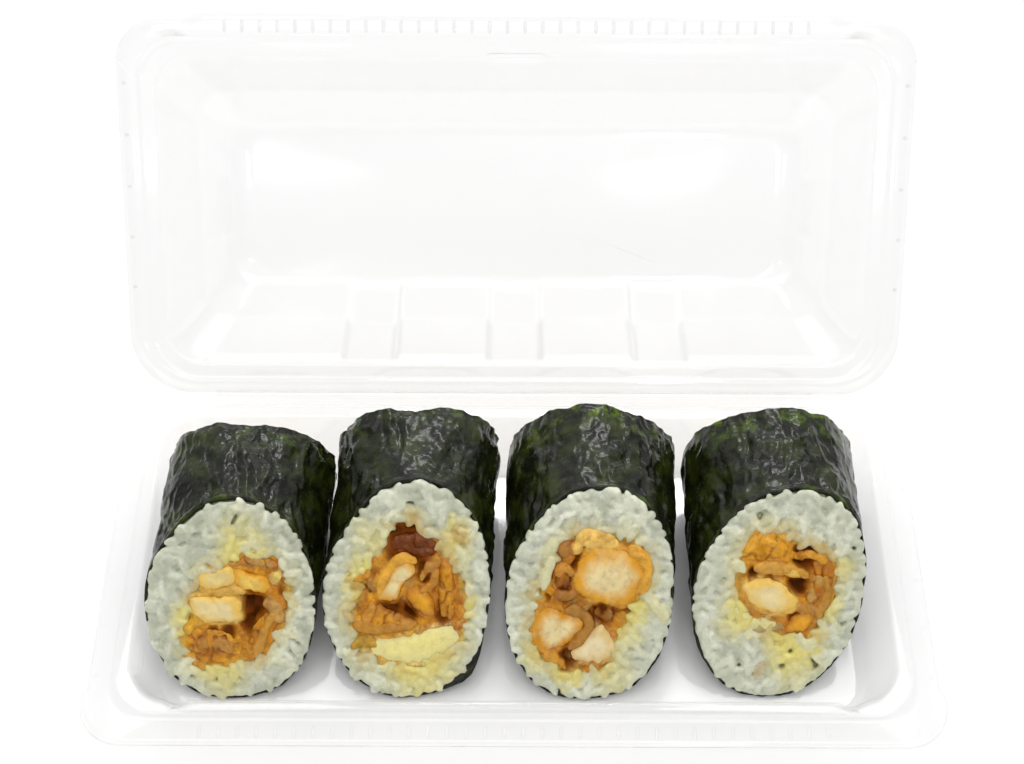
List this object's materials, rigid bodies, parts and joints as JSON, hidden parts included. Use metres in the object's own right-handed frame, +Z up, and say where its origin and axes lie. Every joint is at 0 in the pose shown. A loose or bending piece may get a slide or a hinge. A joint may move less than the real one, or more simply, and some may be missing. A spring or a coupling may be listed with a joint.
{
  "type": "takeaway sushi tray",
  "caption": "Clear hinged takeaway tray, standing open, filled with thick slant-cut seaweed rolls of rice, glazed chicken and sauce.",
  "frame": {"origin": "middle of the tray's flat underside, measured over the tray without its open lid", "axes": "+X along the tray's long side, +Y towards the hinge and the open lid, +Z up"},
  "size_m": [0.2176, 0.1788, 0.0995],
  "materials": {
    "clear_plastic": "clear thermoformed sheet, glossy, with a fine knurl on the flanges",
    "nori": "dark green roasted seaweed, wrinkled, with a soft sheen",
    "rice": "moist cooked rice, faintly see-through grains",
    "sauce": "dark glossy sauce",
    "mayo": "pale yellow cream, soft gloss",
    "chicken": "pale cooked meat, slightly moist",
    "glazed": "meat with an orange-brown glaze",
    "brown": "dark glazed meat strips"
  },
  "bodies": {
    "tray": {"tray": "clear_plastic", "nori_1": "nori", "rice_1": "rice", "sauce_1": "sauce", "chicken_1a": "chicken", "glazed_1b": "glazed", "chicken_1c": "chicken", "brown_1d": "brown", "brown_1e": "brown", "brown_1f": "brown", "nori_2": "nori", "rice_2": "rice", "sauce_2": "sauce", "mayo_2a": "mayo", "brown_2b": "brown", "glazed_2c": "glazed", "glazed_2d": "glazed", "brown_2e": "brown", "brown_2f": "brown", "nori_3": "nori", "rice_3": "rice", "sauce_3": "sauce", "glazed_3a": "glazed", "glazed_3b": "glazed", "chicken_3c": "chicken", "brown_3d": "brown", "nori_4": "nori", "rice_4": "rice", "sauce_4": "sauce", "chicken_4a": "chicken", "brown_4b": "brown", "glazed_4c": "glazed", "brown_4d": "brown", "glazed_4e": "glazed", "mayo_4f": "mayo"},
    "lid": {"lid": "clear_plastic"}
  },
  "joints": [
    {"name": "lid_hinge", "type": "hinge", "parent": "tray", "child": "lid", "pos_m": [0, 0.0525, 0.0192], "axis": [1, 0, 0], "range_deg": [0, 130]}
  ]
}
